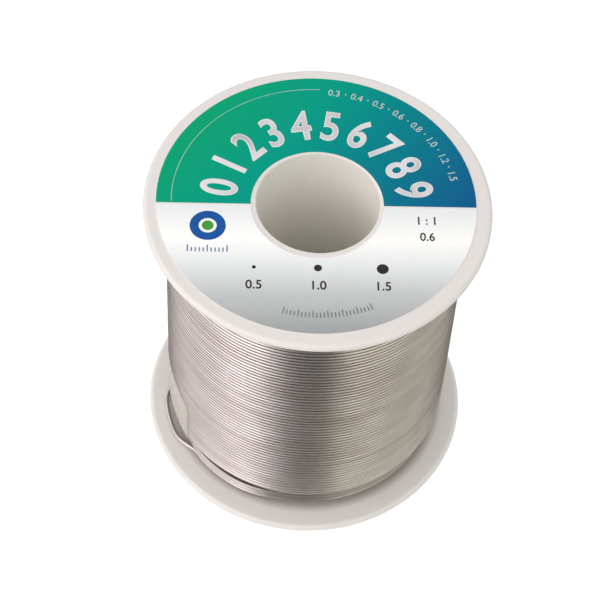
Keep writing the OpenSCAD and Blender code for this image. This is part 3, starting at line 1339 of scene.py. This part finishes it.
@dataclass
class EndTape:
    """The strip of clear tape over the free end, which follows the turns beneath."""

    sizes: SpoolSizes
    finish: ClearTape = field(default_factory=ClearTape)
    start_angle: float = -200.5
    end_angle: float = -147.5
    columns: int = 60
    rows: int = 96
    thickness: float = 0.03 * MM
    clearance: float = 0.02 * MM
    sag: float = 0.02 * MM
    # Its two ends lift a little, over this much of its length
    edge_lift: float = 0.01 * MM
    lift_width: float = 0.6 * MM
    length: float = 18 * MM
    # It was stuck on a little askew, higher away from its end, over this much of a turn
    skew: float = 12.0
    skew_rise: float = 0.9 * MM
    foot: float = 4.4 * MM
    top_over: float = 0.4 * MM
    # It clears and thins towards its edges over this width, down to this share of its thickness
    edge_width: float = 0.8 * MM
    edge_share: float = 0.1

    def build(self) -> None:
        """Builds the tape as one closed film."""
        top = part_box("end_tape")[1].z
        columns, rows = self.columns, self.rows
        points, edge = [], []
        span = math.radians(self.end_angle - self.start_angle) * self.sizes.winding_radius
        for side in (0, 1):
            for column in range(columns + 1):
                share = column / columns
                angle = self.start_angle + (self.end_angle - self.start_angle) * share
                rise = self.skew_rise * min(1.0, (self.end_angle - angle) / self.skew)
                low = self.foot + rise
                high = top + self.top_over + rise
                for row in range(rows + 1):
                    height = low + (high - low) * row / rows
                    inset = min(share * span, (1 - share) * span, height - low, high - height)
                    full = min(1.0, inset / self.edge_width)
                    thick = self.thickness * (self.edge_share + (1 - self.edge_share) * full)
                    edge.append(full)
                    points.append(polar(self.reach(share, angle, height) + side * thick, angle, height))
        layer = (columns + 1) * (rows + 1)
        faces = [*grid_faces(columns, rows), *grid_faces(columns, rows, layer)]
        rim = [column * (rows + 1) for column in range(columns + 1)]
        rim += [columns * (rows + 1) + row for row in range(1, rows + 1)]
        rim += [column * (rows + 1) + rows for column in range(columns - 1, -1, -1)]
        rim += list(range(rows - 1, 0, -1))
        for here, after in zip(rim, rim[1:] + rim[:1]):
            faces.append((here, after, after + layer, here + layer))
        mesh = mesh_of("end_tape_film", points, faces, cover=edge)
        close_mesh(mesh)
        place_piece("end_tape_film", mesh, "clear_tape", self.finish, ["end_tape"])

    def reach(self, share: float, angle: float, height: float) -> float:
        """Gives the radius of the tape's inner face.

        Args:
            share: How far round the tape, from 0 to 1.
            angle: Its angle, in degrees.
            height: Height above the foot of the spool.

        Returns:
            The radius.
        """
        sizes = self.sizes
        # Crests of the turns climb one pitch in a full turn
        crest = sizes.step_height + sizes.wire_radius + (angle - FREE_END_ANGLE) / 360 * sizes.wire_pitch
        ripple = self.sag * 0.5 * (math.cos(TURN * (height - crest) / sizes.wire_pitch) - 1)
        if height < crest:
            ripple = 0.0
        inset = min(share, 1 - share) * self.length
        lift = self.edge_lift * max(0.0, 1 - inset / self.lift_width) ** 2
        return sizes.winding_radius + self.clearance + ripple + lift


# ------------------------------------------------------------- the studio


def seen_directly(tree: NodeTree) -> Node:
    """Adds nodes that give 1 for camera, glossy and transmission rays, and 0 for others."""
    path = add_node(tree, "ShaderNodeLightPath").outputs
    total = calculated(tree, "MAXIMUM", path["Is Camera Ray"], path["Is Glossy Ray"])
    return calculated(tree, "MAXIMUM", total, path["Is Transmission Ray"])


@dataclass(frozen=True)
class StudioPaper(Finish):
    """Pale seamless paper, which shows as white round the object's soft shadow.

    It glows a little where it is seen, and is open when seen from below.
    """

    name: str = "studio_paper"
    colour: str = "#F2F2F1"
    glow: float = 0.5

    def shader(self, tree: NodeTree) -> Node:
        """Builds the nodes and gives the one that the surface takes."""
        strength = calculated(tree, "MULTIPLY", seen_directly(tree), self.glow)
        glow = add_node(tree, "ShaderNodeEmission", {"Strength": strength})
        paper = add_node(tree, "ShaderNodeBsdfDiffuse", {"Color": linear(self.colour)})
        lit = add_node(tree, "ShaderNodeAddShader", {0: paper, 1: glow})
        below = add_node(tree, "ShaderNodeNewGeometry").outputs["Backfacing"]
        open_view = add_node(tree, "ShaderNodeBsdfTransparent")
        return add_node(tree, "ShaderNodeMixShader", {0: below, 1: lit, 2: open_view})


@dataclass(frozen=True)
class CardTones(Finish):
    """Tones of a card beside the set that only polished surfaces mirror.

    Each tone is an angle, in degrees round the object from the front, and the colour there.
    """

    name: str
    tones: tuple[tuple[float, str], ...]
    strength: float = 3.0

    @property
    def start(self) -> float:
        """Angle at which the card starts."""
        return self.tones[0][0]

    @property
    def end(self) -> float:
        """Angle at which the card ends."""
        return self.tones[-1][0]

    def shader(self, tree: NodeTree) -> Node:
        """Builds the nodes and gives the one that the surface takes."""
        share = add_node(tree, "ShaderNodeAttribute", attribute_name="round").outputs["Fac"]
        stops = [((angle - self.start) / (self.end - self.start), tone) for angle, tone in self.tones]
        tone = add_node(tree, "ShaderNodeValToRGB", {"Fac": share}, stops=stops)
        return add_node(tree, "ShaderNodeEmission", {"Color": tone, "Strength": self.strength})


@dataclass(frozen=True)
class SoftLamp:
    """A soft square lamp that faces the object. Its angles are round the object, in degrees."""

    name: str
    azimuth: float
    elevation: float
    watts: float
    colour: str
    distance: float = 0.9
    side: float = 0.6

    def hang(self) -> None:
        """Hangs the lamp."""
        data = bpy.data.lights.new(self.name, "AREA")
        data.energy = self.watts
        data.size = self.side
        data.color = linear(self.colour)[:3]
        lamp = new_object(self.name, data)
        tilt = math.radians(self.elevation)
        place = polar(self.distance * math.cos(tilt), self.azimuth, self.distance * math.sin(tilt))
        lamp.location = place
        lamp.rotation_euler = (-place).to_track_quat("-Z", "Y").to_euler()


@dataclass
class Studio:
    """Floor, world, lamps and cards. Angles are round the object, from +X, in degrees."""

    front: float = -93.9
    floor_radius: float = 1.6
    floor_steps: int = 96
    # Edges of the ring-shaped opening under the foot, which lets the underside be seen
    opening: Pair = (8.3 * MM, 22.2 * MM)
    world_level: float = 0.645
    # The wall and upper cards lie on a globe of this radius, in steps between two elevations
    card_distance: float = 0.75
    arc_steps: int = 16
    # The table card is a flat ring between these distances, at this height
    table_edges: Pair = (26 * MM, 0.74)
    table_height: float = 0.3 * MM
    # Degrees round the object to a face of a card
    card_step: float = 4.0

    def build(self) -> None:
        """Builds the whole set."""
        self.floor()
        self.world()
        self.lamps()
        self.cards()

    def floor(self) -> None:
        """Lays the pale floor: a disc within the bore and a wide ring round the foot."""
        steps = self.floor_steps
        radii = (*self.opening, self.floor_radius)
        points = [polar(radius, 360 * step / steps) for radius in radii for step in range(steps)]
        faces = [tuple(range(steps))]
        for step in range(steps):
            after = (step + 1) % steps
            faces.append((steps + step, 2 * steps + step, 2 * steps + after, steps + after))
        floor = new_object("floor", mesh_of("floor", points, faces))
        floor.data.materials.append(StudioPaper().material())

    def world(self) -> None:
        """Makes a plain world: white to look at, softer as a light."""
        world = bpy.data.worlds.new("studio")
        world.use_nodes = True
        tree = world.node_tree
        tree.nodes.clear()
        strength = remapped(tree, seen_directly(tree), end=(self.world_level, 1.0))
        sky = add_node(tree, "ShaderNodeBackground", {"Color": (1, 1, 1, 1), "Strength": strength})
        add_node(tree, "ShaderNodeOutputWorld", {"Surface": sky})
        bpy.context.scene.world = world

    def lamps(self) -> None:
        """Hangs the soft lamps: two at the left and one in front."""
        SoftLamp("key_lamp", self.front - 60, 35, 1.46, "#FFF0F8").hang()
        SoftLamp("left_lamp", self.front - 90, 22, 0.8, "#FFF0F8").hang()
        SoftLamp("front_lamp", self.front - 5, 40, 1.13, "#FAFCF4").hang()

    def cards(self) -> None:
        """Stands what the wire mirrors: pale at the left, dark in front, grey at the right."""
        wall_tones = (
            (-170, "#A6A3A2"), (-112, "#BCB8B6"), (-91, "#C1BBBA"), (-71, "#BEB8B8"), (-50, "#DDD6D8"),
            (-36, "#F7F0F0"), (-27, "#DED8D8"), (-20, "#918B8A"), (-13, "#383635"), (15, "#232221"),
            (21, "#66645D"), (26, "#B3B0A3"), (31, "#AFAC9E"), (40, "#A4A295"), (55, "#9E9C8F"),
            (70, "#9B998D"), (85, "#99968F"), (95, "#A4A29B"), (120, "#ADAAA3"), (165, "#9C9A96"),
        )
        upper_tones = (
            (-170, "#918F8F"), (-112, "#A3A09E"), (-71, "#BEB8B9"), (-50, "#DAD2D3"), (-30, "#D5CECF"),
            (-14, "#696565"), (16, "#52504E"), (24, "#AAA79C"), (34, "#A4A299"), (55, "#9C9A8D"),
            (95, "#9B9890"), (165, "#918F8E"),
        )
        table_tones = (
            (-170, "#595656"), (-36, "#5C5859"), (-18, "#2D2B2B"), (-8, "#131212"), (12, "#131212"),
            (25, "#4D4B45"), (165, "#53524E"),
        )
        self.card("wall_card", self.arc(2.0, 50.0), CardTones("wall_tones", wall_tones))
        self.card("upper_card", self.arc(50.0, 90.0), CardTones("upper_tones", upper_tones))
        table = [(edge, self.table_height) for edge in self.table_edges]
        self.card("table_card", table, CardTones("table_tones", table_tones))

    def arc(self, low: float, high: float) -> list[Pair]:
        """Gives distances and heights along a globe round the object, between two elevations."""
        steps = self.arc_steps
        points = [polar(self.card_distance, low + (high - low) * step / steps) for step in range(steps + 1)]
        return [(point.x, point.y) for point in points]

    def card(self, name: str, profile: Sequence[Pair], finish: CardTones) -> None:
        """Stands one card, a profile swept round the object, which only glossy rays see.

        Args:
            name: Name of the card.
            profile: Distances and heights of its section.
            finish: Its finish, which gives the angles between which it stands.
        """
        columns = round((finish.end - finish.start) / self.card_step)
        points, shares = [], []
        for column in range(columns + 1):
            share = column / columns
            azimuth = self.front + finish.start + (finish.end - finish.start) * share
            points += [polar(distance, azimuth, height) for distance, height in profile]
            shares += [share] * len(profile)
        card = new_object(name, mesh_of(name, points, grid_faces(columns, len(profile) - 1), round=shares))
        card.data.materials.append(finish.material())
        card.visible_camera = False
        card.visible_diffuse = False
        card.visible_transmission = False
        card.visible_shadow = False


@dataclass
class ViewCamera:
    """The camera, its places in millimetres from the spool's foot and its roll in degrees."""

    position: tuple[float, float, float] = (-11.314, -166.484, 263.536)
    aim: tuple[float, float, float] = (-1.520, 0.089, 24.606)
    roll: float = 3.693
    lens: float = 127.69
    sensor: float = 36.0
    # Distances between which it sees, in metres
    clip: Pair = (0.01, 20.0)

    def build(self) -> None:
        """Makes the camera and gives it to the scene."""
        data = bpy.data.cameras.new("view_camera")
        data.lens = self.lens
        data.sensor_width = self.sensor
        data.clip_start, data.clip_end = self.clip
        camera = new_object("view_camera", data)
        position = Vector(self.position) * MM
        forward = (Vector(self.aim) * MM - position).normalized()
        level = forward.cross(Vector((0, 0, 1))).normalized()
        upright = level.cross(forward)
        turn = math.radians(self.roll)
        right = level * math.cos(turn) + upright * math.sin(turn)
        up = upright * math.cos(turn) - level * math.sin(turn)
        axes = Matrix((right, up, -forward)).transposed().to_4x4()
        camera.matrix_world = Matrix.Translation(position) @ axes
        bpy.context.scene.camera = camera


def main() -> None:
    """Builds the object, the studio and the camera."""
    logging.basicConfig(level=logging.INFO, format="%(name)s: %(message)s")
    bpy.context.scene.view_settings.view_transform = "Standard"
    sizes = SpoolSizes.from_frame()
    ViewCamera().build()
    SpoolHalves().dress()
    RingLabel().build()
    WireWinding(sizes).build()
    EndTape(sizes).build()
    Studio().build()


if __name__ == "__main__":
    main()
